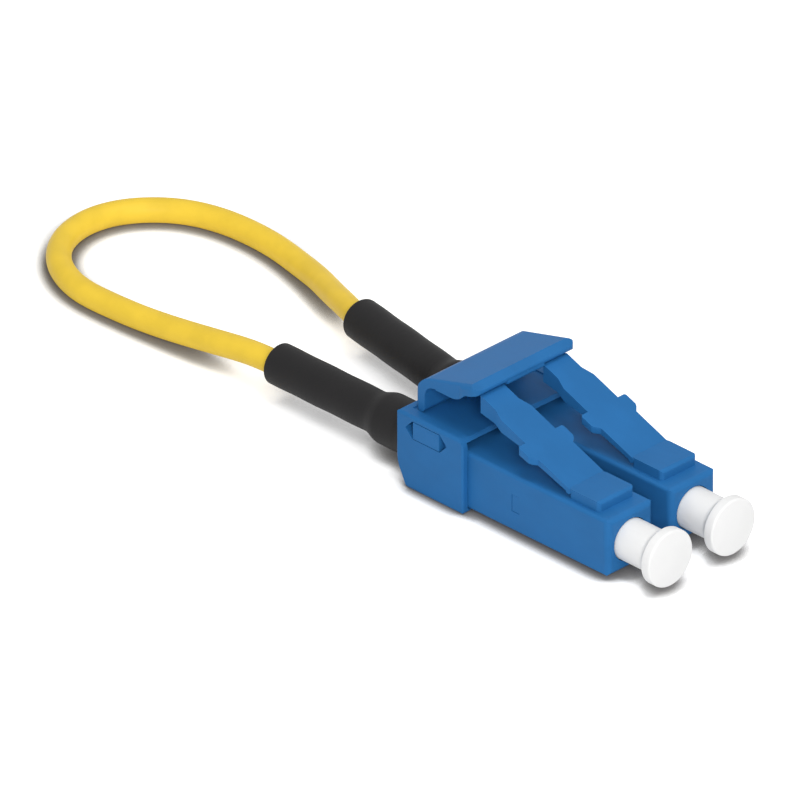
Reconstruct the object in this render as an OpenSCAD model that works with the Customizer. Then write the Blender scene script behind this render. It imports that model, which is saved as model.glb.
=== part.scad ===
/* [Plug bodies] */
// Width and height of each square plug body
plug_w = 4.52; // [4.2:0.02:4.8]
// Distance between the axes of the two plugs
plug_pitch = 6.25; // [6.1:0.05:6.8]
// Radius of the long edges of a plug body
plug_edge_r = 0.3; // [0.1:0.05:0.4]
// Radius of the edges round the nose, in plan and in side view
nose_edge_r = 0.5; // [0.2:0.05:0.55]
// How far the noses reach ahead of the clip
nose_reach = 13.85; // [13:0.05:16]
// Radius of the round mouth in the nose
nose_bore_r = 1.66; // [1.64:0.01:1.75]
// Depth of the round mouth
nose_bore_depth = 2.7; // [2.4:0.1:3]
// Thickness of the wall that the ferrule flange seats against
seat_wall = 0.8; // [0.5:0.1:1]
// Radius of the spring chamber behind that wall
chamber_r = 1.5; // [1.45:0.01:1.6]

/* [Clip] */
// Length of the clip along the plugs
clip_len = 6.6; // [6.2:0.1:8]
// Height of the clip above its feet
clip_h = 6; // [5.9:0.05:6.6]
// How far the clip's feet stand below the plug bodies
foot_drop = 0.35; // [0.2:0.05:0.6]
// Wall thickness of each cheek
cheek_t = 0.5; // [0.35:0.025:0.8]
// Thickness of the clip's deck
deck_t = 0.35; // [0.25:0.05:0.5]
// Thickness of the clip's rear wall
rear_wall = 1.45; // [1:0.05:1.8]
// Play between a plug body and its bay, each side
bay_play = 0.04; // [0.02:0.01:0.08]
// Width of the snap lips under each body edge
lip_w = 0.35; // [0.2:0.05:0.5]
// Length of the square part of the cheek window
window_len = 2.7; // [2.2:0.1:3]
// Height of the cheek window
window_h = 1.44; // [1.2:0.04:1.6]
// Length of each pointed end of the window
window_tip = 0.7; // [0.4:0.1:0.9]
// Gap between the window and the snap boss that fills it
window_gap = 0.06; // [0.03:0.01:0.1]

/* [Latch arms] */
// Width of the root pad and of the arm next to it
arm_w = 3.5; // [3:0.1:3.9]
// Width across the two catch ears
ear_span = 4.45; // [4.2:0.05:4.5]
// Width of the arm just behind the ears
neck_w = 3; // [2.6:0.1:3.4]
// Width of the tail
tail_w = 2.34; // [1.8:0.02:2.4]
// Distance of the tail's end behind the clip's front edge
tail_past = 0.15; // [0.05:0.05:0.2]
// Length of the narrow tail
tail_len = 1.75; // [1.4:0.05:2.2]
// Length over which the arm narrows to its tail
tail_step = 0.9; // [0.5:0.1:1.2]
// Height of the root pad above the body
pad_h = 0.78; // [0.7:0.02:0.9]
// Length of the root pad
pad_len = 3; // [2.6:0.1:3.4]
// Distance of the pad's front edge behind the nose face
pad_setback = 1.4; // [1.2:0.1:1.8]
// Rise of the arm's top for each unit of length
arm_rise = 0.365; // [0.3:0.001:0.37]
// Rise of the arm's underside for each unit of length, from the root to the ears
under_rise = 0.33; // [0.3:0.005:0.345]
// Rise of the underside for each unit of length, behind the ears
tail_rise = 0.18; // [0.14:0.01:0.22]
// Radius of the flexing root
root_r = 0.25; // [0.2:0.01:0.3]
// Distance of the ears' front face behind the root
ear_back = 3.3; // [2.8:0.1:3.5]
// Length of each ear
ear_len = 1.2; // [1:0.1:1.6]

/* [Trigger] */
// Width of the trigger's leg and plate
trigger_w = 9.8; // [9.6:0.1:10]
// Width across the swelling at the front of the side skirts
lug_span = 10.1; // [10:0.1:10.4]
// Drop of the side skirts below the plate's underside
skirt_drop = 0.5; // [0.3:0.05:0.6]
// Radius of the skirts' upturned front end
skirt_r = 1.6; // [1.3:0.05:1.7]
// Thickness of the rear leg and of its rounded foot
leg_t = 0.9; // [0.8:0.05:1]
// Distance of the leg's rear face ahead of the clip's rear face
leg_setback = 0.9; // [0.8:0.1:1.4]
// Height of the plate's rear top edge above the deck
trigger_h = 2.55; // [2.45:0.05:2.8]
// Thickness of the plate
plate_t = 0.75; // [0.65:0.01:0.8]
// How much lower the underside is at the plate's front edge
plate_lip = 0.17; // [0.1:0.01:0.18]
// Rise of the plate for each unit of length
plate_rise = 0.27; // [0.26:0.005:0.3]
// Radius of the bend from the leg into the plate, outside
plate_corner_r = 1.95; // [1.6:0.05:2]
// Radius of the same bend, inside
plate_inner_r = 0.9; // [0.6:0.05:1]
// How far the plate reaches ahead of the clip
plate_reach = 0.45; // [0.3:0.05:0.6]

/* [Ferrules and springs] */
// Radius of the ceramic ferrule
ferrule_r = 0.625; // [0.6:0.005:0.65]
// Length of the ferrule
ferrule_len = 6.5; // [6.2:0.1:6.8]
// How far the ferrule stands out of the nose
ferrule_out = 1.8; // [1.6:0.1:2]
// Radius of the flange that holds the ferrule
flange_r = 1.3; // [1.2:0.02:1.4]
// Length of the flange
flange_len = 1.6; // [1.4:0.1:1.8]
// Radius of the tube behind the flange
tail_tube_r = 0.75; // [0.7:0.01:0.8]
// Length of the tube behind the flange
tail_tube_len = 2.4; // [2:0.1:2.6]
// Radius of the spring wire
wire_r = 0.15; // [0.12:0.01:0.17]
// Radius of the spring coil, to the middle of the wire
coil_r = 1.14; // [1.05:0.01:1.18]
// Turns of the spring
coil_turns = 5; // [4:1:6]

/* [Cable ends] */
// Distance of the back post's front face behind the nose face
post_setback = 8.4; // [8.2:0.1:8.6]
// Radius of the back post's crimp neck
neck_r = 1.15; // [1.1:0.01:1.2]
// Length of the crimp neck behind the plug body
neck_len = 3.1; // [2.9:0.1:3.4]
// Outer radius of the crimp ring
crimp_r = 1.55; // [1.45:0.01:1.6]
// Length of the crimp ring
crimp_len = 2.6; // [2.2:0.1:2.8]
// Outer radius of the shrink tube over the crimp ring
bulge_r = 1.95; // [1.85:0.01:2]
// Outer radius of the shrink tube over the cord
tube_r = 1.56; // [1.45:0.01:1.65]
// Length of the full width behind the crimp neck
bulge_end = 1.7; // [1:0.1:2]
// Length over which the tube narrows from there
bulge_fade = 1.2; // [0.8:0.1:1.8]
// Height of the shrink tubes' axis above the plugs' axis
tube_lift = 0.1; // [0:0.02:0.12]
// Length of the near tube behind the crimp neck
near_tube_len = 12.75; // [10:0.05:16]
// Length of the far tube behind the crimp neck
far_tube_len = 13.4; // [10:0.05:16]
// Outward splay of the far tube, in degrees
far_splay = 10.2; // [9:0.1:11]
// Radius of the fibre's buffer coat
buffer_r = 0.45; // [0.4:0.01:0.48]
// Radius of the cord's jacket
cord_r = 0.92; // [0.85:0.01:0.92]

/* [Dust caps] */
// Radius of the cap's stem
stem_r = 1.59; // [1.45:0.01:1.6]
// Depth of the stem inside the nose
stem_in = 2.15; // [1.8:0.05:2.2]
// How far the cap stands out of the nose
cap_out = 4.1; // [3.9:0.1:5]
// Radius of the cap's head
head_r = 2.19; // [2.05:0.01:2.25]
// Thickness of the head's rim
head_t = 0.9; // [0.6:0.05:1]
// Radius of the cap's bore
cap_bore_r = 0.675; // [0.66:0.005:0.69]

/* [Hidden] */
$fn = 48;

// Clearances shared by the pieces that meet
slip = 0.03;    // between pieces pushed together
run = 0.05;     // between pieces that slide or turn
touch = 0.1;    // end play of pieces that rest on each other
over = 1;       // how far a cutter runs past the face it cuts
weld = 0.01;    // depth by which two shapes of one piece share volume

// Frame: X towards the noses, Z up, origin under the middle of the clip
near_y = -plug_pitch / 2;
far_y = plug_pitch / 2;
axis_z = foot_drop + plug_w / 2;
body_top = foot_drop + plug_w;
clip_front = clip_len / 2;
clip_rear = -clip_len / 2;
nose_x = clip_front + nose_reach;
bay_rear = clip_rear + rear_wall;
housing_rear = bay_rear + run;
bay_w = plug_w + 2 * bay_play;
clip_w = plug_pitch + bay_w + 2 * cheek_t;
bay_top = clip_h - deck_t;
deck_w = plug_pitch + bay_w - 0.9;
deck_sink = 0.1;

// Snap boss and cheek window
collar_front = 1;
collar_top = bay_top - 0.1;
window_x = (housing_rear + collar_front) / 2 + 0.05;
window_z = 4.9;
boss_len = window_len - 2 * window_gap;
boss_h = window_h - 2 * window_gap;

// Latch arm
pad_front = nose_x - pad_setback;
pad_rear = pad_front - pad_len;
pad_top = body_top + pad_h;
root_x = pad_rear - root_r / 4;
root_z = pad_top - root_r - 0.01;
arm_end = clip_front - tail_past;
ear_front = root_x - ear_back;
ear_rear = ear_front - ear_len;
arm_len = root_x - arm_end;
under_z = root_z - root_r / 2;

// Trigger
leg_r = leg_t / 2;
leg_x = clip_rear + leg_setback + leg_r;
leg_z = clip_h - deck_sink + leg_r + 0.02;
leg_rear = leg_x - leg_r;
plate_end = clip_front + plate_reach;
plate_z0 = clip_h + trigger_h;
skirt_x = clip_front - 2.2;
skirt_rear = leg_x + 1.55;
skirt_front = plate_end - 1;
skirt_gap = 0.2;
skirt_inner = plug_pitch / 2 + tail_w / 2 + skirt_gap;

// Inside a plug
seat_x = nose_x - nose_bore_depth;
chamber_front = seat_x - seat_wall;
ferrule_hole_r = ferrule_r + 0.175;
flange_front = chamber_front - run;
flange_rear = flange_front - flange_len;
post_front = nose_x - post_setback;
post_r = chamber_r - slip;
post_collar_r = post_r + 0.35;
post_collar_len = 1;
post_bore_r = tail_tube_r + 0.2;
post_bore_len = 2;
fibre_bore_r = buffer_r + run;
neck_bore_r = buffer_r + 2 * run;
neck_end = housing_rear - neck_len;
tab_len = 0.7;
tab_h = 1.3;
tab_x = post_front - 0.75;
crimp_front = housing_rear - 0.2;
spring_len = flange_rear - post_front - 2 * slip;

// Behind a plug
bend_x = neck_end - 2 * touch;
cord_start = bend_x - touch;
tube_bore_r = cord_r + run + tube_lift;
tube_play = slip + tube_lift;
tube_front = crimp_front;
crimp_rear = crimp_front - crimp_len;

// Height of the trigger plate's top face at x
function plate_top(x) = plate_z0 + plate_rise * (x - leg_rear);

// Points of an arc about c, from angle a to angle b
function arc(c, r, a, b, n = 8) = [
    for (i = [0:n]) c + r * [cos(a + (b - a) * i / n), sin(a + (b - a) * i / n)]
];

// Flat shape of size w by h, centred, with round corners
module rounded(w, h, r) {
    square([w - 2 * r, h], center = true);
    square([w, h - 2 * r], center = true);
    for (x = [-1, 1], y = [-1, 1])
        translate([x * (w / 2 - r), y * (h / 2 - r)])
            circle(r);
}

// Shape drawn in Y and Z, carried along X from x0 to x1
module along_x(x0, x1)
    translate([x0, 0, 0])
        rotate([90, 0, 90])
            linear_extrude(x1 - x0)
                children();

// Shape drawn in X and Z, carried along Y from y0 to y1
module along_y(y0, y1)
    translate([0, y1, 0])
        rotate([90, 0, 0])
            linear_extrude(y1 - y0)
                children();

// Solid turned about X from a profile of [radius, x] points
module turned(points)
    rotate([90, 0, 90])
        rotate_extrude($fn = 64)
            polygon(points);

// Round rod or cutter along X
module rod(r, x0, x1)
    translate([x0, 0, 0])
        rotate([0, 90, 0])
            cylinder(r = r, h = x1 - x0);

// Places a plug's own pieces, which are drawn about the axis, at one side
module at_plug(side)
    translate([0, side * plug_pitch / 2, axis_z])
        children();

// Plug body: square bar with a round mouth, a spring chamber and a raised collar
module housing(side) {
    color("royalblue")
        difference() {
            at_plug(side) {
                intersection() {
                    along_x(housing_rear, nose_x)
                        rounded(plug_w, plug_w, plug_edge_r);
                    body_outline();
                }
                housing_collar(side);
                root_pad();
            }
            at_plug(side)
                housing_inside();
        }
}

// Nose edges of the body, rounded in plan and in side view
module body_outline() {
    intersection() {
        translate([0, 0, -plug_w])
            linear_extrude(2 * plug_w)
                nose_outline();
        along_y(-plug_w, plug_w)
            nose_outline();
    }
}

// Long rectangle with two round corners at the nose
module nose_outline()
    polygon(concat(
        [[housing_rear, plug_w / 2]],
        arc([nose_x - nose_edge_r, plug_w / 2 - nose_edge_r], nose_edge_r, 90, 0),
        arc([nose_x - nose_edge_r, nose_edge_r - plug_w / 2], nose_edge_r, 0, -90),
        [[housing_rear, -plug_w / 2]]
    ));

// Raised rear collar, and the boss that snaps into the cheek window
module housing_collar(side) {
    collar_h = collar_top - axis_z;
    translate([housing_rear, -plug_w / 2 + plug_edge_r, 0])
        cube([collar_front - housing_rear, plug_w - 2 * plug_edge_r, collar_h]);
    outer = side * plug_w / 2;
    boss_out = bay_play + cheek_t;
    boss_y = side > 0 ? outer - plug_edge_r - weld : outer - boss_out;
    translate([window_x - boss_len / 2, boss_y, window_z - axis_z - boss_h / 2])
        cube([boss_len, boss_out + plug_edge_r + weld, boss_h]);
}

// Pad on the body's top that the latch arm grows out of
module root_pad() {
    lift = -axis_z;
    difference() {
        intersection() {
            along_y(-arm_w / 2, arm_w / 2)
                translate([0, lift])
                    polygon(concat(
                        [[pad_rear, body_top - weld - plug_edge_r]],
                        [[pad_front, body_top - weld - plug_edge_r]],
                        arc([pad_front - 0.3, pad_top - 0.3], 0.3, 0, 90),
                        [[pad_rear, pad_top]]
                    ));
            translate([(pad_front + pad_rear) / 2, 0, 0])
                linear_extrude(plug_w)
                    rounded(pad_len, arm_w, 0.3);
            translate([pad_rear - over, -plug_w / 2, 0])
                cube([pad_len + 2 * over, plug_w, plug_w]);
        }
        translate([root_x, 0, root_z + lift])
            rotate([90, 0, 0])
                cylinder(r = root_r + slip, h = plug_w, center = true);
    }
}

// Everything that is hollow inside a plug body
module housing_inside() {
    rod(nose_bore_r, seat_x, nose_x + over);
    rod(ferrule_hole_r, chamber_front - over, seat_x + over);
    rod(chamber_r, housing_rear - over, chamber_front);
    rod(post_collar_r + slip, housing_rear - over, housing_rear + post_collar_len + slip);
    translate([tab_x, 0, 0])
        cube([tab_len + 2 * slip, plug_w + over, tab_h + 2 * slip], center = true);
}

// Latch arm: a thin beam with a catch ear on each side, and a deep narrow tail
module latch_arm(side) {
    color("dodgerblue")
        translate([0, side * plug_pitch / 2, 0])
            intersection() {
                along_y(-plug_w / 2, plug_w / 2)
                    arm_side();
                linear_extrude(clip_h + 2 * plug_w)
                    arm_plan();
            }
}

// Side view of the arm, a round root and a tail with a blunt end
module arm_side() {
    tail_top = pad_top + arm_rise * arm_len;
    ear_under = under_z + under_rise * (root_x - ear_rear);
    tail_under = ear_under + tail_rise * (ear_rear - arm_end);
    translate([root_x, root_z])
        circle(root_r);
    polygon(concat(
        [[root_x, root_z - root_r * 0.7]],
        [[root_x, root_z + root_r]],
        arc([arm_end + 0.25, tail_top - 0.25], 0.25, 70, 180),
        arc([arm_end + 0.35, tail_under + 0.42], 0.35, 180, 260),
        [[ear_rear, ear_under]],
        [[root_x - root_r * 2, under_z + under_rise * root_r * 2]]
    ));
}

// Plan view of the arm
module arm_plan() {
    half = [
        [root_x + root_r, arm_w / 2],
        [ear_front + 0.35, arm_w / 2],
        [ear_front + 0.05, ear_span / 2 - 0.12],
        [ear_front - 0.15, ear_span / 2],
        [ear_rear + 0.12, ear_span / 2],
        [ear_rear, ear_span / 2 - 0.12],
        [ear_rear, neck_w / 2],
        [arm_end + tail_len + tail_step, neck_w / 2],
        [arm_end + tail_len, tail_w / 2],
        [arm_end + 0.3, tail_w / 2],
        [arm_end, tail_w / 2 - 0.3]
    ];
    polygon(concat(half, [for (i = [len(half) - 1:-1:0]) [half[i][0], -half[i][1]]]));
}

// Clip that holds the two plugs, open below, with a window in each cheek
module duplex_clip() {
    color("mediumblue")
        difference() {
            intersection() {
                along_x(clip_rear, clip_front)
                    clip_section();
                along_y(-clip_w / 2, clip_w / 2)
                    clip_side();
                translate([0, 0, -over])
                    linear_extrude(clip_h + 2 * over)
                        rounded(clip_len, clip_w, 0.18);
            }
            for (side = [-1, 1])
                translate([0, side * plug_pitch / 2, 0])
                    clip_bay();
            along_y(-clip_w, clip_w)
                translate([window_x, window_z])
                    window_outline();
            translate([clip_rear + leg_setback - 0.2, -deck_w / 2, clip_h - deck_sink])
                cube([clip_len, deck_w, over]);
        }
}

// Outside of the clip seen along the plugs
module clip_section()
    translate([0, clip_h / 2])
        rounded(clip_w, clip_h, 0.3);

// Outside of the clip seen from the side, with its cut-back lower rear corner
module clip_side() {
    slant_x = 0.85;
    slant_z = 2.5;
    foot_r = 0.5;
    polygon(concat(
        [[clip_rear, slant_z]],
        [[clip_rear + slant_x * 0.35, slant_z * 0.6]],
        arc([clip_rear + slant_x + foot_r, foot_r], foot_r, 200, 270, 6),
        arc([clip_front - 0.3, 0.3], 0.3, 270, 360, 6),
        arc([clip_front - 0.7, clip_h - 0.7], 0.7, 0, 90),
        arc([clip_rear + 0.3, clip_h - 0.3], 0.3, 90, 180, 6)
    ));
}

// Space for one plug: a tall bay, a narrower mouth below, a slot for the tube
module clip_bay() {
    translate([bay_rear, -bay_w / 2, foot_drop - bay_play])
        cube([clip_len, bay_w, bay_top - foot_drop + bay_play]);
    translate([bay_rear, -bay_w / 2 + lip_w, -over])
        cube([clip_len, bay_w - 2 * lip_w, foot_drop + over]);
    translate([0, 0, axis_z])
        rod(bulge_r + touch, clip_rear - over, bay_rear + over);
    translate([clip_rear - over, -bulge_r - touch, -over])
        cube([rear_wall + 2 * over, 2 * (bulge_r + touch), axis_z + over]);
}

// Window with pointed ends
module window_outline() {
    half_len = window_len / 2;
    half_h = window_h / 2;
    polygon([
        [-half_len - window_tip, 0],
        [-half_len, half_h],
        [half_len, half_h],
        [half_len + window_tip, 0],
        [half_len, -half_h],
        [-half_len, -half_h]
    ]);
}

// Thumb trigger: a leg at the rear, a rising plate and a skirt along each side
module trigger() {
    slope = atan(plate_rise);
    color("deepskyblue")
        intersection() {
            union() {
                along_y(-lug_span / 2, lug_span / 2)
                    trigger_side();
                for (side = [-1, 1])
                    trigger_skirt(side);
            }
            linear_extrude(3 * clip_h)
                trigger_plan();
            translate([leg_rear, 0, plate_z0])
                rotate([0, -slope, 0])
                    along_x(-clip_len, 2 * clip_len)
                        plate_section();
        }
}

// Side view of the trigger
module trigger_side() {
    nose_r = 0.28;
    lean = sqrt(1 + plate_rise * plate_rise);
    turn = 90 + atan(plate_rise);
    front_top = plate_top(plate_end - 0.7);
    front_under = plate_top(plate_end) - plate_t - plate_lip;
    outer = [leg_rear + plate_corner_r, 0];
    inner = [leg_x + leg_r + plate_inner_r, 0];
    outer_z = plate_top(outer[0]) - plate_corner_r * lean;
    inner_z = plate_top(inner[0]) - plate_t - plate_inner_r * lean;
    translate([leg_x, leg_z])
        circle(leg_r);
    polygon(concat(
        [[leg_x + leg_r, leg_z]],
        arc([inner[0], inner_z], plate_inner_r, 180, turn),
        [[plate_end - nose_r, front_under]],
        arc([plate_end - nose_r, front_under + nose_r], nose_r, 270, 400, 6),
        [[plate_end - 0.75, front_top]],
        arc([outer[0], outer_z], plate_corner_r, turn, 180, 12),
        [[leg_rear, leg_z]]
    ));
}

// Plan view of the trigger, with the slight swelling of its side skirts
module trigger_plan() {
    rear_r = 0.35;
    front_r = 0.75;
    half_w = trigger_w / 2;
    half_lug = lug_span / 2;
    half = concat(
        arc([leg_rear + rear_r, half_w - rear_r], rear_r, 180, 90, 4),
        [[skirt_x + 0.8, half_w], [skirt_x + 1.2, half_lug]],
        arc([plate_end - front_r, half_lug - front_r], front_r, 90, 0, 6)
    );
    polygon(concat(half, [for (i = [len(half) - 1:-1:0]) [half[i][0], -half[i][1]]]));
}

// The plate seen along its slope, with round upper edges
module plate_section() {
    edge_r = 0.5;
    half_w = lug_span / 2 + weld;
    crown = 2 * weld;
    polygon(concat(
        [[-half_w, -2 * clip_h]],
        arc([edge_r - half_w, crown - edge_r], edge_r, 180, 90, 5),
        arc([half_w - edge_r, crown - edge_r], edge_r, 90, 0, 5),
        [[half_w, -2 * clip_h]]
    ));
}

// Skirt along one side of the plate, level below and turned up at its front
module trigger_skirt(side) {
    skirt_z = plate_top(skirt_x) - plate_t - skirt_drop;
    y0 = side > 0 ? skirt_inner : -lug_span / 2;
    y1 = side > 0 ? lug_span / 2 : -skirt_inner;
    along_y(y0, y1)
        polygon(concat(
            [[skirt_rear, plate_top(skirt_rear) - plate_t / 2]],
            [[skirt_rear, skirt_z]],
            arc([skirt_x, skirt_z + skirt_r], skirt_r, 270, 315, 6),
            [[skirt_front, plate_top(skirt_front) - plate_t + weld]],
            [[skirt_front, plate_top(skirt_front) - plate_t / 2]]
        ));
}

// Ceramic ferrule with a chamfered tip and a fibre hole
module ferrule(side) {
    tip = nose_x + ferrule_out;
    root = tip - ferrule_len;
    color("white")
        at_plug(side)
            turned([
                [0.1, root],
                [ferrule_r, root],
                [ferrule_r, tip - 0.3],
                [ferrule_r - 0.15, tip],
                [0.1, tip]
            ]);
}

// Flange that carries the ferrule, with the tube that the spring sits round
module ferrule_flange(side) {
    socket = nose_x + ferrule_out - ferrule_len;
    end = flange_rear - tail_tube_len;
    color("silver")
        at_plug(side)
            turned([
                [fibre_bore_r, end],
                [tail_tube_r, end],
                [tail_tube_r, flange_rear],
                [flange_r, flange_rear],
                [flange_r, flange_front - 0.35],
                [flange_r - 0.3, flange_front],
                [ferrule_r + slip, flange_front],
                [ferrule_r + slip, socket],
                [fibre_bore_r, socket]
            ]);
}

// Wound spring, swept as rings of points along a helix
module spring(side) {
    ring = 6;
    steps = 12 * coil_turns;
    pitch = (spring_len - 2 * wire_r) / coil_turns;
    start = post_front + slip + wire_r;
    points = [
        for (i = [0:steps], k = [0:ring - 1])
            let (turn = 360 * coil_turns * i / steps, a = 360 * k / ring)
            let (r = coil_r + wire_r * cos(a))
            [start + pitch * coil_turns * i / steps + wire_r * sin(a), r * cos(turn), r * sin(turn)]
    ];
    color("gainsboro")
        at_plug(side)
            polyhedron(points, tube_faces(steps, ring));
}

// Faces of a tube of rings, with both ends closed
function tube_faces(steps, ring) = concat(
    [[for (k = [0:ring - 1]) k]],
    [
        for (i = [0:steps - 1], k = [0:ring - 1])
            let (a = i * ring + k, b = i * ring + (k + 1) % ring)
            [a, a + ring, b + ring, b]
    ],
    [[for (k = [ring - 1:-1:0]) steps * ring + k]]
);

// Back post: holds the spring, snaps into the body, ends in a grooved crimp neck
module back_post(side) {
    groove = 0.12;
    color("steelblue")
        at_plug(side) {
            turned(concat(
                [
                    [neck_bore_r, neck_end],
                    [neck_r, neck_end]
                ],
                [
                    for (i = [0:2])
                        let (x = neck_end + 0.5 + i * 0.8)
                        each [
                            [neck_r, x],
                            [neck_r - groove, x + groove],
                            [neck_r - groove, x + 0.3],
                            [neck_r, x + 0.3 + groove]
                        ]
                ],
                [
                    [neck_r, housing_rear],
                    [post_collar_r, housing_rear],
                    [post_collar_r, housing_rear + post_collar_len],
                    [post_r, housing_rear + post_collar_len],
                    [post_r, post_front],
                    [post_bore_r, post_front],
                    [post_bore_r, post_front - post_bore_len],
                    [neck_bore_r, post_front - post_bore_len]
                ]
            ));
            for (side_y = [-1, 1])
                post_tab(side_y);
        }
}

// Snap tab that fills the small window in the side of the body
module post_tab(side_y) {
    reach = plug_w / 2 - slip;
    inner = post_bore_r + 0.1;
    y = side_y > 0 ? inner : -reach;
    translate([tab_x - tab_len / 2, y, -tab_h / 2])
        cube([tab_len, reach - inner, tab_h]);
}

// Crimp ring round the post's neck, with pressed bands
module crimp_ring(side) {
    bore = neck_r + slip;
    band = 0.06;
    color("goldenrod")
        at_plug(side)
            turned([
                [bore, crimp_rear],
                [crimp_r, crimp_rear],
                [crimp_r, crimp_rear + 0.5],
                [crimp_r - band, crimp_rear + 0.6],
                [crimp_r - band, crimp_rear + 1.1],
                [crimp_r, crimp_rear + 1.2],
                [crimp_r, crimp_rear + 1.5],
                [crimp_r - band, crimp_rear + 1.6],
                [crimp_r - band, crimp_rear + 2.1],
                [crimp_r, crimp_rear + 2.2],
                [crimp_r, crimp_front],
                [bore, crimp_front]
            ]);
}

// Buffered fibre from the cord's end to the ferrule's flange
module buffer(side) {
    front = flange_rear - tail_tube_len + 1;
    color("ivory")
        at_plug(side)
            rod(buffer_r, cord_start, front);
}

// Shrink tube: wide over the crimp ring, narrow over the cord, splayed behind
module shrink_tube(side, splay, length) {
    cut = 3 * bulge_r;
    color("dimgray")
        at_plug(side)
            translate([bend_x, 0, tube_lift]) {
                difference() {
                    tube_ahead();
                    rotate(-splay / 2)
                        translate([-cut, -cut, -cut])
                            cube([cut, 2 * cut, 2 * cut]);
                }
                difference() {
                    rotate(-splay)
                        tube_behind(length);
                    rotate(-splay / 2)
                        translate([0, -cut, -cut])
                            cube([cut, 2 * cut, 2 * cut]);
                }
            }
}

// Part of the tube over the crimp ring, from past the bend to inside the clip
module tube_ahead()
    turned([
        [tube_bore_r, -over],
        [bulge_r, -over],
        [bulge_r, tube_front - bend_x],
        [crimp_r + tube_play, tube_front - bend_x],
        [crimp_r + tube_play, crimp_rear - touch - bend_x],
        [neck_r + tube_play, crimp_rear - touch - bend_x],
        [neck_r + tube_play, neck_end - touch - bend_x],
        [tube_bore_r, neck_end - touch - bend_x]
    ]);

// Part of the tube over the cord, drawn straight back from the bend
module tube_behind(length)
    turned(concat(
        [[tube_bore_r, over], [bulge_r, over], [bulge_r, -bulge_end]],
        [[tube_r + 0.06, -bulge_end - bulge_fade * 0.75]],
        [[tube_r, -bulge_end - bulge_fade]],
        arc([tube_r - 0.2, -length + 0.2], 0.2, 0, -90, 4),
        [[tube_bore_r, -length]]
    ));

// Dust cap: hollow stem, flared neck and a slightly domed head
module dust_cap(side) {
    inner = nose_x - stem_in;
    face = nose_x + cap_out;
    rim = face - head_t - 0.12;
    flare = 0.75;
    bore_end = nose_x + ferrule_out + 0.2;
    color("whitesmoke")
        at_plug(side)
            turned(concat(
                [[cap_bore_r + 0.15, inner]],
                arc([stem_r - 0.15, inner + 0.15], 0.15, -90, 0, 4),
                [
                    for (i = [0:6])
                        let (t = i / 6)
                        [stem_r + (head_r - 0.1 - stem_r) * pow(t, 2.4), rim - flare * (1 - t)]
                ],
                arc([head_r - 0.15, rim + 0.15], 0.15, -60, 0, 4),
                arc([head_r - 0.2, face - 0.32], 0.2, 0, 70, 4),
                [[head_r * 0.6, face - 0.04]],
                [[0, face]],
                [[0, bore_end + 0.3]],
                [[cap_bore_r, bore_end]],
                [[cap_bore_r, inner + 0.15]]
            ));
}

// Route of the cord from the near plug round to the far plug
far_bend = [bend_x, far_y, axis_z];
far_way = [-cos(far_splay), sin(far_splay), 0];
cord_route = [
    [cord_start, near_y, axis_z],
    [-9, near_y, axis_z],
    [-14, near_y, axis_z],
    [-18, near_y, axis_z],
    [-20.5, -3.1, 2.5],
    [-23, -3.1, 2.1],
    [-26, -3.1, 1.6],
    [-29, -3.2, 1.2],
    [-32, -3.4, 1],
    [-34.8, -3.5, 0.95],
    [-37.2, -3.5, 0.92],
    [-39.4, -2.9, 0.92],
    [-41.4, -1.8, 0.92],
    [-43.1, 0, 0.92],
    [-44, 2.1, 0.92],
    [-44.2, 4.2, 0.92],
    [-43.6, 6.4, 0.92],
    [-42.2, 8.3, 0.92],
    [-40.3, 9.8, 0.92],
    [-37.7, 10.7, 0.92],
    [-35, 10.95, 0.92],
    [-32, 10.8, 0.92],
    [-29, 10.1, 1],
    [-26.2, 9.2, 1.3],
    [-23.4, 7.8, 1.8],
    [-20.8, 6.6, 2.3],
    far_bend + far_tube_len * far_way,
    far_bend + 9 * far_way,
    far_bend + 5 * far_way,
    far_bend + 2 * touch * far_way
];

// Tube of 8 sides swept along a route, each ring square to the route
module loop_cord() {
    ring = 8;
    last = len(cord_route) - 1;
    points = [
        for (i = [0:last])
            let (a = cord_route[max(i - 1, 0)], b = cord_route[min(i + 1, last)])
            let (along = (b - a) / norm(b - a))
            let (across = cross([0, 0, 1], along) / norm(cross([0, 0, 1], along)))
            let (up = cross(along, across))
            for (k = [0:ring - 1])
                let (turn = 360 * (k + 0.5) / ring)
                cord_route[i] + cord_r * (across * cos(turn) + up * sin(turn))
    ];
    color("gold")
        polyhedron(points, tube_faces(last, ring));
}

housing(-1);  // housing_near
housing(1);  // housing_far
latch_arm(-1);  // latch_arm_near
latch_arm(1);  // latch_arm_far
duplex_clip();
trigger();
ferrule(-1);  // ferrule_near
ferrule(1);  // ferrule_far
ferrule_flange(-1);  // ferrule_flange_near
ferrule_flange(1);  // ferrule_flange_far
spring(-1);  // spring_near
spring(1);  // spring_far
back_post(-1);  // back_post_near
back_post(1);  // back_post_far
crimp_ring(-1);  // crimp_ring_near
crimp_ring(1);  // crimp_ring_far
buffer(-1);  // buffer_near
buffer(1);  // buffer_far
shrink_tube(-1, 0, near_tube_len);  // shrink_tube_near
shrink_tube(1, far_splay, far_tube_len);  // shrink_tube_far
dust_cap(-1);  // dust_cap_near
dust_cap(1);  // dust_cap_far
loop_cord();
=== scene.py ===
"""Fibre loopback plug: its cord, its smooth pieces, its finishes, the light and the camera."""

import math

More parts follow.
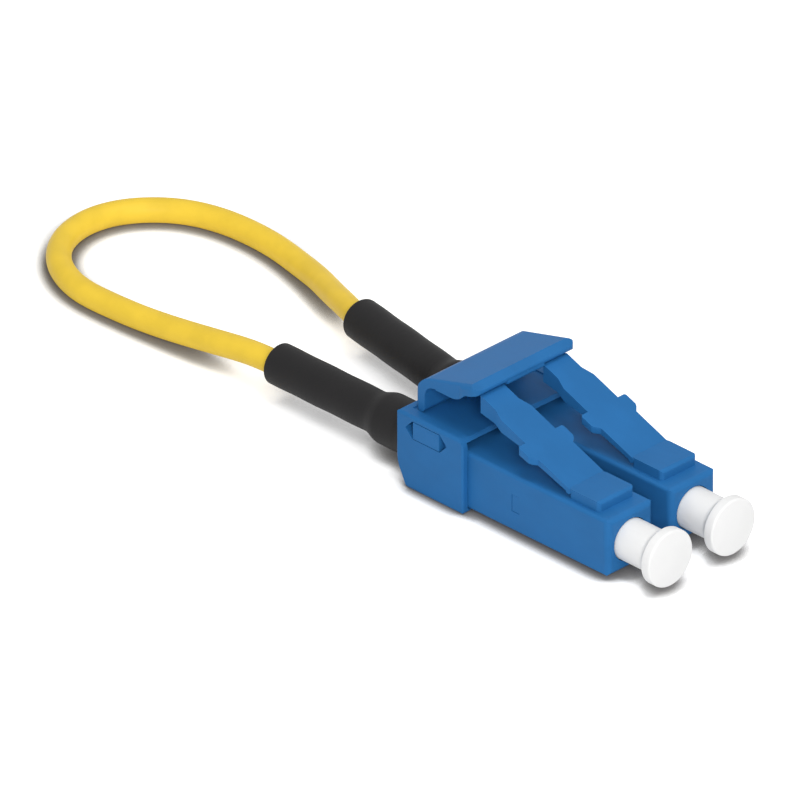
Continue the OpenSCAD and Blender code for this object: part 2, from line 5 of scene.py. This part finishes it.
import bmesh
import bpy
import numpy as np
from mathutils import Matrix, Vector


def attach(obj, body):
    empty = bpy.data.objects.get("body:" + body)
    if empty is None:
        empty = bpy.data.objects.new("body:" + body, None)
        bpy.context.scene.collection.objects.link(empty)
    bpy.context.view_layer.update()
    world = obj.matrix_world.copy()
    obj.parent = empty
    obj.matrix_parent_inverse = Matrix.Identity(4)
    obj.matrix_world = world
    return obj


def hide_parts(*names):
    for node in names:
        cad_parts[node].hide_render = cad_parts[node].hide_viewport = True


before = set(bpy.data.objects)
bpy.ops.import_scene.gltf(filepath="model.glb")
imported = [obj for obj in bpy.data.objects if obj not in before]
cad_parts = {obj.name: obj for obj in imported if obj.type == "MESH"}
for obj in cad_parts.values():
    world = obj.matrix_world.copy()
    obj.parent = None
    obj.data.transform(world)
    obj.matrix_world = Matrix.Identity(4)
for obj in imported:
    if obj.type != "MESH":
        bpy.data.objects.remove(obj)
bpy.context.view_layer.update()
MM = 0.001

# ---------------------------------------------------------------- sizes, in millimetres

NEAR_Y, FAR_Y, AXIS_Z = -3.125, 3.125, 2.61  # the two plugs' centre lines
NOSE_X = 17.15  # front face of the plugs
CORD_R = 0.92
BEND_X = -5.1  # where the far tube turns outwards
FAR_SPLAY = math.radians(10.2)
NEAR_TUBE, FAR_TUBE = 12.75, 13.4  # length of each shrink tube behind the bend
TUBE_FRONT, TUBE_Z = -2.0, AXIS_Z + 0.1
OVER_CRIMP, OVER_CORD = 1.94, 1.56  # outer radius of a tube
TUBE_RIM = 0.12  # round of a tube's rear rim
PICTURE_WIDTH = 56.537  # what the camera takes in at the plug
PLUG_MIDDLE = (-5, 2, 0)


# ---------------------------------------------------------------- camera


def add_object(name, data):
    """Object at the origin that holds the data."""
    made = bpy.data.objects.new(name, data)
    bpy.context.scene.collection.objects.link(made)
    return made


def point(thing, place, target):
    """Puts a camera or a lamp at a place in millimetres and turns it to the target."""
    place, target = Vector(place), Vector(target)
    thing.location = place * MM
    thing.rotation_mode = "QUATERNION"
    thing.rotation_quaternion = (target - place).to_track_quat("-Z", "Y")


def make_camera():
    """Long lens above the near nose, half way round between the side and the front."""
    azimuth, elevation, distance = math.radians(45), math.radians(29.7), 2600
    target = np.array([-11.43, 2.585, 0])
    back = np.array(
        [
            math.sin(azimuth) * math.cos(elevation),
            -math.cos(azimuth) * math.cos(elevation),
            math.sin(elevation),
        ]
    )
    data = bpy.data.cameras.new("camera")
    data.sensor_width = 36
    data.lens = data.sensor_width * distance / PICTURE_WIDTH
    data.clip_start, data.clip_end = 0.5, 20
    camera = add_object("camera", data)
    point(camera, target + back * distance, target)
    bpy.context.scene.camera = camera


make_camera()


# ---------------------------------------------------------------- surfaces


def new_piece(name, points, faces, smooth=True):
    """Mesh object at the origin from points in millimetres, an N by 3 array, and faces."""
    mesh = bpy.data.meshes.new(name)
    mesh.from_pydata((points * MM).tolist(), [], faces)
    mesh.update()
    mesh.polygons.foreach_set("use_smooth", np.full(len(mesh.polygons), smooth))
    return add_object(name, mesh)


def grid_faces(rows, columns, closed_rows=False):
    """Quads between the rows of a grid: its columns close on themselves, its rows may too."""
    r = np.arange(rows if closed_rows else rows - 1)[:, None]
    c = np.arange(columns)[None, :]
    a = r * columns + c
    b = r * columns + (c + 1) % columns
    up = (r + 1) % rows * columns
    return np.stack([a, b, up + (c + 1) % columns, up + c], -1).reshape(-1, 4)


def swept_faces(rows, columns):
    """Quads of a grid with a flat face over its first row and one over its last."""
    first, last = list(range(columns)), [(rows - 1) * columns + k for k in range(columns)]
    return grid_faces(rows, columns).tolist() + [first[::-1], last]


def turns(columns):
    """Even angles round a full turn."""
    return np.linspace(0, 2 * np.pi, columns, endpoint=False)


def lathe(name, profile, y, z, columns=96):
    """Turned surface: each point of the profile is carried round a line along X.

    The profile is a list of places along X and distances from the line, and it starts
    and ends on the line itself, where fans of triangles close the surface. The height
    of a point is its distance times the sine of the turn, its Y the same with the cosine.
    """
    line = np.array(profile, float)
    inner = line[1:-1]
    ring, t = inner[:, 1][:, None], turns(columns)
    x = np.repeat(inner[:, 0], columns)
    points = np.stack([x, (y + ring * np.cos(t)).ravel(), (z + ring * np.sin(t)).ravel()], 1)
    first, last = len(points), len(points) + 1
    points = np.vstack([points, [line[0, 0], y, z], [line[-1, 0], y, z]])
    top = (len(inner) - 1) * columns
    faces = grid_faces(len(inner), columns).tolist()
    for k in range(columns):
        faces.append([first, (k + 1) % columns, k])
        faces.append([last, top + k, top + (k + 1) % columns])
    return outward(new_piece(name, points, faces))


def outward(piece):
    """Turns a closed mesh's faces to point out of it."""
    shape = bmesh.new()
    shape.from_mesh(piece.data)
    bmesh.ops.recalc_face_normals(shape, faces=shape.faces)
    shape.to_mesh(piece.data)
    shape.free()
    return piece


def smooth_line(points, step):
    """Line through the given points with rounded turns, cut into even steps.

    Each span is the cubic that passes its two ends with the slope of the neighbours on
    either side; the result is then resampled by its running length.
    """
    p = np.array(points, float)
    p = np.vstack([2 * p[0] - p[1], p, 2 * p[-1] - p[-2]])
    t = np.linspace(0, 1, 24, endpoint=False)[:, None]
    a, b, c, d = p[:-3, None], p[1:-2, None], p[2:-1, None], p[3:, None]
    spans = 0.5 * (
        2 * b
        + (c - a) * t
        + (2 * a - 5 * b + 4 * c - d) * t**2
        + (3 * b - a - 3 * c + d) * t**3
    )
    line = np.vstack([spans.reshape(-1, 3), p[-2]])
    run = np.concatenate([[0], np.cumsum(np.linalg.norm(np.diff(line, axis=0), axis=1))])
    even = np.linspace(0, run[-1], int(round(run[-1] / step)) + 1)
    return np.stack([np.interp(even, run, line[:, k]) for k in range(3)], 1)


def soften(line, rounds):
    """Evens out a line's bends: an inner point moves half way to the mean of its neighbours."""
    line = line.copy()
    for _ in range(rounds):
        line[1:-1] = (line[:-2] + 2 * line[1:-1] + line[2:]) / 4
    return line


def unit(ways):
    """Directions of length 1."""
    return ways / np.linalg.norm(ways, axis=1)[:, None]


def rings(first, second, columns):
    """Round rings: the first direction times the cosine plus the second times the sine."""
    t = turns(columns)[:, None]
    return first[:, None] * np.cos(t) + second[:, None] * np.sin(t)


def level_rings(along, columns):
    """Rings square to each direction; across is level, and above is square to both."""
    across = unit(np.cross([0, 0, 1], along))
    return rings(across, np.cross(along, across), columns)


def smooth_step(way):
    """0 below 0 and 1 above 1: between them, three times the square less twice the cube."""
    way = np.clip(way, 0, 1)
    return way * way * (3 - 2 * way)


def moulded(node, width, turn=28):
    """Copy of a CAD node with its sharp edges rounded, as a mould leaves them.

    Flat neighbours are joined, and each edge that turns more than the given angle gets
    a round of that width in millimetres.
    """
    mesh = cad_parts[node].data.copy()
    mesh.name = node + "_moulded"
    shape = bmesh.new()
    shape.from_mesh(mesh)
    bmesh.ops.remove_doubles(shape, verts=shape.verts, dist=2e-6)
    bmesh.ops.dissolve_limit(
        shape, angle_limit=math.radians(1.0), verts=shape.verts, edges=shape.edges
    )
    shape.to_mesh(mesh)
    shape.free()
    mesh.polygons.foreach_set("use_smooth", np.full(len(mesh.polygons), True))
    piece = add_object(node + "_moulded", mesh)
    bevel = piece.modifiers.new("edges", "BEVEL")
    bevel.width = width * MM
    bevel.segments = 3
    bevel.limit_method = "ANGLE"
    bevel.angle_limit = math.radians(turn)
    bevel.use_clamp_overlap = True
    weighted = piece.modifiers.new("normals", "WEIGHTED_NORMAL")
    weighted.mode = "FACE_AREA"
    weighted.weight = 100
    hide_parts(node)
    return piece


# ---------------------------------------------------------------- finishes


class Value:
    """A node socket that can be used in sums and products."""

    def __init__(self, shader, socket):
        self.shader, self.socket = shader, socket

    def _math(self, operation, *others):
        return self.shader.node(
            "ShaderNodeMath", {"operation": operation}, dict(enumerate(others))
        )

    def __add__(self, other):
        return self._math("ADD", self, other)

    def __sub__(self, other):
        return self._math("SUBTRACT", self, other)

    def __rsub__(self, other):
        return self._math("SUBTRACT", other, self)

    def __mul__(self, other):
        return self._math("MULTIPLY", self, other)

    __radd__, __rmul__ = __add__, __mul__

    def other(self, output):
        """Another output of the same node."""
        return Value(self.shader, self.socket.node.outputs[output])

    def above(self, low, high):
        """0 below low, 1 above high and a smooth step between."""
        return self.shader.node(
            "ShaderNodeMapRange",
            {"interpolation_type": "SMOOTHSTEP"},
            {"Value": self, "From Min": low, "From Max": high},
        )


class Finish:
    """The nodes of a new material, or of the world when it is given."""

    def __init__(self, name, owner=None):
        self.owner = owner or bpy.data.materials.new(name)
        self.owner.use_nodes = True
        self.tree = self.owner.node_tree
        self.tree.nodes.clear()

    def node(self, kind, settings=None, inputs=None, output=0):
        """Adds any node: its settings first, then the values or links of its sockets."""
        made = self.tree.nodes.new(kind)
        for name, value in (settings or {}).items():
            setattr(made, name, value)
        for name, value in (inputs or {}).items():
            socket = made.inputs[name]
            if isinstance(value, Value):
                self.tree.links.new(value.socket, socket)
            else:
                socket.default_value = value
        return Value(self, made.outputs[output]) if len(made.outputs) else None

    def place(self, stretch=(1, 1, 1)):
        """Object coordinates in millimetres, stretched along each axis."""
        at = self.node("ShaderNodeTexCoord", output="Object")
        scale = tuple(s / MM for s in stretch)
        return self.node("ShaderNodeMapping", None, {"Vector": at, "Scale": scale})

    def noise(self, per_mm, detail=2, rough=0.5, stretch=(1, 1, 1)):
        """Clouds with so many to a millimetre."""
        return self.node(
            "ShaderNodeTexNoise",
            None,
            {
                "Vector": self.place(stretch),
                "Scale": per_mm,
                "Detail": detail,
                "Roughness": rough,
            },
        )

    def mix(self, amount, first, second):
        """Colour between two colours."""
        a = first if isinstance(first, Value) else (*first, 1)
        b = second if isinstance(second, Value) else (*second, 1)
        return self.node(
            "ShaderNodeMix",
            {"data_type": "RGBA"},
            {0: amount, 6: a, 7: b},
            output=2,
        )

    def bump(self, height, strength, depth_mm, under=None):
        """Fine relief of a depth in millimetres, over another relief if one is given."""
        inputs = {"Height": height, "Strength": strength, "Distance": depth_mm * MM}
        if under is not None:
            inputs["Normal"] = under
        return self.node("ShaderNodeBump", None, inputs)

    def principled(self, **sockets):
        """Principled surface; a socket's name has underscores for its spaces."""
        inputs = {name.replace("_", " "): value for name, value in sockets.items()}
        return self.node("ShaderNodeBsdfPrincipled", None, inputs)

    def surface(self, **sockets):
        """Ends the material in one principled surface with the given sockets."""
        self.node("ShaderNodeOutputMaterial", None, {"Surface": self.principled(**sockets)})
        return self.owner


def tint(colour, factor):
    """The colour times a factor, at most white."""
    return tuple(min(1.0, c * factor) for c in colour)


def moulded_blue(name, colour):
    """Satin blue moulding: faint flow clouds and the fine grain of an eroded mould."""
    f = Finish(name)
    clouds = f.noise(0.35, 3, 0.5, (0.6, 1, 1))
    grain = f.noise(14, 2, 0.6)
    return f.surface(
        Base_Color=f.mix(clouds.above(0.3, 0.7), tint(colour, 0.95), tint(colour, 1.05)),
        Roughness=clouds * 0.08 + 0.46,
        Normal=f.bump(grain, 0.22, 0.006),
        Specular_IOR_Level=0.12,
    )


def cord_jacket():
    """Yellow jacket: extruded, so its grain is drawn out, with faint warm patches."""
    f = Finish("cord_jacket")
    patches = f.noise(0.5, 2)
    grain = f.noise(9, 2, 0.5)
    colour = (0.82, 0.565, 0.05)
    return f.surface(
        Base_Color=f.mix(patches.above(0.3, 0.7), tint(colour, 0.96), tint(colour, 1.04)),
        Roughness=patches * 0.1 + 0.42,
        Normal=f.bump(grain, 0.2, 0.008),
        Specular_IOR_Level=0.15,
    )


def shrunk_tube():
    """Black shrunk tube: dull, with shallow pucker lines round it."""
    f = Finish("shrunk_tube")
    dull = f.noise(0.8, 3)
    pucker = f.noise(1.1, 3, 0.55, (2.2, 1, 1))
    grain = f.noise(10, 2, 0.6)
    fine = f.bump(grain, 0.25, 0.008)
    return f.surface(
        Base_Color=f.mix(dull, (0.010, 0.010, 0.0105), (0.016, 0.015, 0.0155)),
        Roughness=dull * 0.14 + 0.55,
        Normal=f.bump(pucker, 0.3, 0.06, fine),
        Specular_IOR_Level=0.18,
    )


def soft_white():
    """White cap: soft plastic that light sinks into a little, faintly clouded."""
    f = Finish("soft_white")
    clouds = f.noise(0.7, 3)
    grain = f.noise(8, 2, 0.5)
    return f.surface(
        Base_Color=f.mix(clouds, (0.76, 0.76, 0.76), (0.80, 0.80, 0.795)),
        Roughness=clouds * 0.1 + 0.4,
        Normal=f.bump(grain, 0.18, 0.006),
        Subsurface_Weight=0.25,
        Subsurface_Radius=(0.6, 0.6, 0.6),
        Subsurface_Scale=MM,
    )


def turned_metal(name, colour, rough):
    """Turned and plated metal: fine rings across the X axis and a faint haze."""
    f = Finish(name)
    rings = f.noise(3, 2, 0.5, (9, 0.4, 0.4))
    haze = f.noise(1.2, 3)
    return f.surface(
        Base_Color=f.mix(haze, tint(colour, 0.92), tint(colour, 1.05)),
        Metallic=1.0,
        Roughness=haze * 0.1 + rough,
        Normal=f.bump(rings, 0.3, 0.01),
    )


def polished_ceramic():
    """White ceramic: dense, near white, with a polished coat."""
    f = Finish("polished_ceramic")
    haze = f.noise(1.5, 3)
    return f.surface(
        Base_Color=f.mix(haze, (0.82, 0.81, 0.78), (0.88, 0.87, 0.85)),
        Roughness=haze * 0.06 + 0.14,
        Normal=f.bump(f.noise(12, 1), 0.08, 0.004),
        Coat_Weight=0.4,
        Coat_Roughness=0.08,
    )


def buffer_coat():
    """Ivory buffer coat of the fibre."""
    f = Finish("buffer_coat")
    haze = f.noise(1.5, 2)
    return f.surface(
        Base_Color=f.mix(haze, (0.80, 0.78, 0.70), (0.88, 0.86, 0.79)),
        Roughness=haze * 0.1 + 0.35,
        Normal=f.bump(f.noise(10, 1), 0.1, 0.005),
    )


BLUE = (0.018, 0.133, 0.350)
BODY_BLUE = moulded_blue("body_blue", BLUE)
ARM_BLUE = moulded_blue("arm_blue", tint(BLUE, 1.02))
CLIP_BLUE = moulded_blue("clip_blue", tint(BLUE, 0.98))
TRIGGER_BLUE = moulded_blue("trigger_blue", tint(BLUE, 1.01))
JACKET = cord_jacket()
TUBE_BLACK = shrunk_tube()
CAP_WHITE = soft_white()
SPRING_WIRE = turned_metal("spring_wire", (0.60, 0.60, 0.60), 0.22)
FLANGE_METAL = turned_metal("flange_metal", (0.70, 0.67, 0.61), 0.24)
CRIMP_METAL = turned_metal("crimp_metal", (0.74, 0.62, 0.38), 0.3)
CERAMIC = polished_ceramic()
BUFFER = buffer_coat()


def finish_piece(piece, material, body):
    """Gives a piece its finish and the body that it rides on."""
    piece.data.materials.clear()
    piece.data.materials.append(material)
    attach(piece, body)


# ---------------------------------------------------------------- cord

FAR_WAY = np.array([-math.cos(FAR_SPLAY), math.sin(FAR_SPLAY), 0])
FAR_BEND = np.array([BEND_X, FAR_Y, AXIS_Z])
ROUTE = [  # out of the near plug, down to the table, round the loop and back up
    [BEND_X - 0.1, NEAR_Y, AXIS_Z],
    [-9, NEAR_Y, AXIS_Z],
    [-14, NEAR_Y, AXIS_Z],
    [-18, NEAR_Y, AXIS_Z],
    [-20.5, -3.1, 2.5],
    [-23, -3.1, 2.1],
    [-26, -3.1, 1.6],
    [-29, -3.2, 1.2],
    [-32, -3.4, 1],
    [-34.8, -3.5, 0.95],
    [-37.2, -3.5, CORD_R],
    [-39.4, -2.9, CORD_R],
    [-41.4, -1.8, CORD_R],
    [-43.1, 0, CORD_R],
    [-44, 2.1, CORD_R],
    [-44.2, 4.2, CORD_R],
    [-43.6, 6.4, CORD_R],
    [-42.2, 8.3, CORD_R],
    [-40.3, 9.8, CORD_R],
    [-37.7, 10.7, CORD_R],
    [-35, 10.95, CORD_R],
    [-32, 10.8, CORD_R],
    [-29, 10.1, 1],
    [-26.2, 9.2, 1.3],
    [-23.4, 7.8, 1.8],
    [-20.8, 6.6, 2.3],
    list(FAR_BEND + FAR_TUBE * FAR_WAY),
    list(FAR_BEND + 9 * FAR_WAY),
    list(FAR_BEND + 5 * FAR_WAY),
    list(FAR_BEND + 0.2 * FAR_WAY),
]


def make_cord():
    """Round jacket along the route: a point is the line's plus the radius times a ring's."""
    columns = 40
    line = soften(smooth_line(ROUTE, 0.3), 30)
    points = line[:, None] + CORD_R * level_rings(unit(np.gradient(line, axis=0)), columns)
    faces = swept_faces(len(line), columns)
    cord = outward(new_piece("cord_jacket", points.reshape(-1, 3), faces))
    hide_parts("loop_cord")
    finish_piece(cord, JACKET, "plug_pair")


make_cord()


# ---------------------------------------------------------------- shrink tubes


def shrink_tube(name, node, y, splay, length):
    """Shrunk tube: wide over the crimp ring, narrow over the cord, its rear rim cut square.

    The wall is a closed band of rings. A ring lies at a distance behind the bend, on the
    straight or on the splayed line, and has the outer or the inner radius there. The outer
    radius falls from the crimp's to the cord's by a smooth step, swells by a cosine over
    the pressed bands of the crimp ring, and waves slightly by a sine over the cord.
    """
    columns, wall_steps, neck_end = 56, (76, 80), 3.4
    neck_start, neck_length = 1.5, 1.5
    band_swell, band_pitch, bands_end = 0.018, 1.0, -0.4
    wave, wave_rate, wave_start = 0.012, 1.7, 3
    front, rim_start = BEND_X - TUBE_FRONT, length - TUBE_RIM

    neck = np.linspace(front, neck_end, wall_steps[0])
    behind = np.concatenate([neck, np.linspace(neck_end, rim_start, wall_steps[1])[1:]])
    narrowed = smooth_step((behind - neck_start) / neck_length)
    swell = band_swell * np.cos((behind - front) * 2 * np.pi / band_pitch)
    waves = wave * np.sin(behind * wave_rate) * np.clip(length - behind, 0, 1)
    outer = OVER_CRIMP - (OVER_CRIMP - OVER_CORD) * narrowed
    outer += swell * (behind < bands_end) + waves * (behind > wave_start)
    turn = np.linspace(0, np.pi / 2, 6)[1:]
    rim_behind = rim_start + TUBE_RIM * np.sin(turn)
    rim_radius = outer[-1] - TUBE_RIM * (1 - np.cos(turn))
    bore = np.array(
        [
            [length, 1.1],
            [length - 0.3, 1.07],
            [3.0, 1.07],
            [0.3, 1.07],
            [0.0, 1.07],
            [-0.1, 1.3],
            [-0.6, 1.68],
            [front + 0.02, 1.69],
            [front, 1.75],
        ]
    )
    behind = np.concatenate([behind, rim_behind, bore[:, 0]])[:, None]
    radius = np.concatenate([outer, rim_radius, bore[:, 1]])

    straight = np.array([-1, 0, 0])
    splayed = np.array([-math.cos(splay), math.sin(splay), 0])
    centre = np.array([BEND_X, y, TUBE_Z]) + behind * np.where(behind > 0, splayed, straight)
    turned = smooth_step(behind + 0.5)
    along = unit(straight * (1 - turned) + splayed * turned)
    points = centre[:, None] + level_rings(along, columns) * radius[:, None, None]
    faces = grid_faces(len(behind), columns, True).tolist()
    tube = outward(new_piece(name, points.reshape(-1, 3), faces))
    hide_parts(node)
    finish_piece(tube, TUBE_BLACK, "plug_pair")


shrink_tube("shrunk_tube_near", "shrink_tube_near", NEAR_Y, 0.0, NEAR_TUBE)
shrink_tube("shrunk_tube_far", "shrink_tube_far", FAR_Y, FAR_SPLAY, FAR_TUBE)


# ---------------------------------------------------------------- dust caps


def round_corner(x, r, radius, start, stop):
    """Seven points of a round about a centre in the profile, between two angles in degrees."""
    a = np.radians(np.linspace(start, stop, 7))
    return list(zip(x + radius * np.cos(a), r + radius * np.sin(a)))


def dust_cap(name, node, y, body):
    """Cap turned from one profile: blind bore, stem, trumpet flare, rim and domed face.

    Along the flare the radius grows with the power 2.4 of the way to the rim. The face is
    a dome that falls by the power 0.9 of a sine towards its edge.
    """
    face, rear = NOSE_X + 4.1, NOSE_X - 2.15
    head, stem, bore = 2.19, 1.59, 0.675
    bore_end, bore_tip = NOSE_X + 2.0, NOSE_X + 2.3
    rim, flare_length, dome_height = face - 1.02, 0.75, 0.15
    rear_round, back_round, front_round = 0.15, 0.14, 0.17
    u = np.linspace(0, 1, 22)
    flare = list(zip(rim - flare_length * (1 - u), stem + (head - 0.1 - stem) * u**2.4))
    w = np.linspace(0, 1, 10)
    fall = np.sin(w * np.pi / 2) ** 0.9
    dome = list(zip(face - dome_height + dome_height * fall, (head - 0.19) * (1 - w)))
    profile = (
        [(bore_tip, 0), (bore_end, bore), (rear + rear_round, bore), (rear, 0.8)]
        + round_corner(rear + rear_round, stem - rear_round, rear_round, 180, 90)
        + [(rear + 0.6, stem), (rim - 1.6, stem)]
        + flare
        + round_corner(rim + 0.16, head - back_round, back_round, 150, 90)
        + round_corner(face - 0.3, head - front_round, front_round, 90, 28)
        + dome
    )
    cap = lathe(name, profile, y, AXIS_Z)
    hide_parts(node)
    finish_piece(cap, CAP_WHITE, body)


dust_cap("white_cap_near", "dust_cap_near", NEAR_Y, "cap_near")
dust_cap("white_cap_far", "dust_cap_far", FAR_Y, "cap_far")


# ---------------------------------------------------------------- moulded pieces

MOULDED = [  # node, width of its rounds, finish, slot, body
    ("housing_near", 0.08, BODY_BLUE, "plug_body", "plug_pair"),
    ("housing_far", 0.08, BODY_BLUE, "plug_body", "plug_pair"),
    ("duplex_clip", 0.09, CLIP_BLUE, "clip", "plug_pair"),
    ("latch_arm_near", 0.12, ARM_BLUE, "latch", "latch_near"),
    ("latch_arm_far", 0.12, ARM_BLUE, "latch", "latch_far"),
    ("trigger", 0.12, TRIGGER_BLUE, "trigger", "trigger"),
]
for node, width, material, slot, body in MOULDED:
    finish_piece(moulded(node, width), material, body)


def front_lip():
    """Deeper middle of the trigger's front edge, between the two arms.

    Its section is a level underside, a quarter round and an upright front, carried along Y.
    At each end the section draws in towards its middle by a quarter of a sine, so that the
    ends are soft.
    """
    front, low, half, edge = 3.745, 9.05, 1.85, 0.26
    rear, top, rear_top, soft = 2.5, 9.6, 9.3, 0.12
    middle, reach = np.array([3.2, 9.4]), 0.5
    a = np.linspace(-np.pi / 2, 0, 7)
    turn = np.stack([front - edge + edge * np.cos(a), low + edge + edge * np.sin(a)], 1)
    upper = [[front - 0.02, top - 0.04], [front - 0.445, top], [rear, rear_top]]
    section = np.vstack([[[rear, low]], turn, upper])
    w = np.linspace(0, 1, 6) * np.pi / 2
    inner = half - soft + soft * np.cos(w)
    place = np.concatenate([-inner, inner[::-1]])
    inset = soft * (1 - np.sin(w))
    shrink = 1 - np.concatenate([inset, inset[::-1]]) / reach
    flat = middle + (section[None] - middle) * shrink[:, None, None]
    points = np.insert(flat, 1, 0, axis=2)
    points[..., 1] = place[:, None]
    faces = swept_faces(*points.shape[:2])
    lip = outward(new_piece("trigger_front_lip", points.reshape(-1, 3), faces, smooth=False))
    finish_piece(lip, TRIGGER_BLUE, "trigger")


front_lip()


# ---------------------------------------------------------------- springs and inner pieces


def spring(name, node, y):
    """Wire wound about X.

    Its centre line moves evenly along X as it turns: Y is the coil's radius times the cosine
    of the turn and Z the same with the sine. A ring of the wire lies about each of its points.
    """
    rear, front, windings, coil, wire = 8.93, 11.82, 5, 1.14, 0.15
    columns = 12
    a = np.linspace(0, 2 * np.pi * windings, 60 * windings + 1)
    out = np.stack([0 * a, np.cos(a), np.sin(a)], 1)
    centre = np.array([rear, y, AXIS_Z]) + coil * out
    centre[:, 0] += (front - rear) * a / a[-1]
    side = np.cross(unit(np.gradient(centre, axis=0)), out)
    points = centre[:, None] + wire * rings(out, side, columns)
    faces = swept_faces(len(a), columns)
    wound = outward(new_piece(name, points.reshape(-1, 3), faces))
    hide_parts(node)
    finish_piece(wound, SPRING_WIRE, "plug_pair")


spring("wound_spring_near", "spring_near", NEAR_Y)
spring("wound_spring_far", "spring_far", FAR_Y)

CARRIED = {
    "ferrule_near": CERAMIC,
    "ferrule_far": CERAMIC,
    "ferrule_flange_near": FLANGE_METAL,
    "ferrule_flange_far": FLANGE_METAL,
    "back_post_near": BODY_BLUE,
    "back_post_far": BODY_BLUE,
    "crimp_ring_near": CRIMP_METAL,
    "crimp_ring_far": CRIMP_METAL,
    "buffer_near": BUFFER,
    "buffer_far": BUFFER,
}
for node, material in CARRIED.items():
    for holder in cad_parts[node].material_slots:
        holder.material = material


# ---------------------------------------------------------------- floor, light and background


def only_seen(f):
    """1 for what the camera sees directly, in a mirror or through glass, else 0."""
    seen = f.node("ShaderNodeLightPath", output="Is Camera Ray")
    seen = seen + seen.other("Is Glossy Ray") + seen.other("Is Transmission Ray")
    return seen.above(0.4, 0.6)


def between(value, low, high, fade=2.0):
    """1 between low and high, falling smoothly to 0 in a strip on either side."""
    return value.above(low - fade, low) * (1 - value.above(high, high + fade))


def open_room(f, distance, **sockets):
    """Share of the room round a point that nothing fills, out to a distance in millimetres."""
    inputs = {"Distance": distance * MM, **sockets}
    return f.node("ShaderNodeAmbientOcclusion", {"samples": 8}, inputs, output=1)


def make_floor():
    """White table top with a soft shadow, partly real from the lamps and partly painted.

    The painted shadow darkens its colour and its glow where the camera sees it, close beside
    what touches it and behind what is held just above it: the tubes and the caps. How dark it
    gets follows how much of the room round a point is filled, not the lamps. Away from the plug
    it is plain, and saves the work.
    """
    white, painted_shadow_colour = (0.84, 0.84, 0.84), (0.10, 0.09, 0.085)
    unlit, glow = (0, 0, 0), (0.55, 0.55, 0.55)
    f = Finish("table_top")

    def matt(**sockets):
        dull = {"Roughness": 1.0, "Specular_IOR_Level": 0.0, "Emission_Strength": 1.0}
        return f.principled(**dull, **sockets)

    x = f.node("ShaderNodeSeparateXYZ", None, {"Vector": f.place()})
    near = between(x, -50, 33) * between(x.other("Y"), -10, 16)
    # Painted shadow: occlusion beside what touches the table, and occlusion with the normal
    # tipped to the front behind what is held above it.
    beside = open_room(f, 1.4).above(0.5, 0.95)
    forwards = f.node("ShaderNodeCombineXYZ", None, {"X": 0.707, "Y": -0.707})
    behind = open_room(f, 2.4, Normal=forwards).above(0.7, 0.95)
    lit = (beside * 0.86 + 0.14) * (behind * 0.7 + 0.3)
    seen = only_seen(f)
    plain = matt(Base_Color=(*white, 1), Emission_Color=f.mix(seen, unlit, glow))
    # The shaded surface paints that shadow into the colour and the glow that the camera sees.
    shaded = matt(
        Base_Color=f.mix(seen * (1 - lit), white, painted_shadow_colour),
        Emission_Color=f.mix(seen * lit, unlit, glow),
    )
    whole = f.node("ShaderNodeMixShader", None, {0: near, 1: plain, 2: shaded})
    f.node("ShaderNodeOutputMaterial", None, {"Surface": whole})
    half = 1500.0
    corners = np.array([[-half, -half, 0], [half, -half, 0], [half, half, 0], [-half, half, 0]])
    floor = new_piece("table_top", corners, [[0, 1, 2, 3]], smooth=False)
    floor.data.materials.append(f.owner)


def area_light(name, place, size, power):
    """Soft round panel at a place in millimetres that faces the middle of the plug."""
    data = bpy.data.lights.new(name, "AREA")
    data.shape, data.size, data.energy = "DISK", size * MM, power
    point(add_object(name, data), place, PLUG_MIDDLE)


def make_world():
    """Even white studio: full white where it is seen, half of that as light on the plug."""
    world = bpy.data.worlds.new("studio")
    f = Finish("studio", world)
    level = only_seen(f) * 0.5 + 0.5
    sky = f.node("ShaderNodeBackground", None, {"Color": (1, 1, 1, 1), "Strength": level})
    f.node("ShaderNodeOutputWorld", None, {"Surface": sky})
    bpy.context.scene.world = world


make_floor()
make_world()
area_light("front_panel", (330, -280, 250), 160, 1.25)
area_light("top_panel", (110, 10, 400), 260, 0.62)
bpy.context.scene.view_settings.view_transform = "Standard"
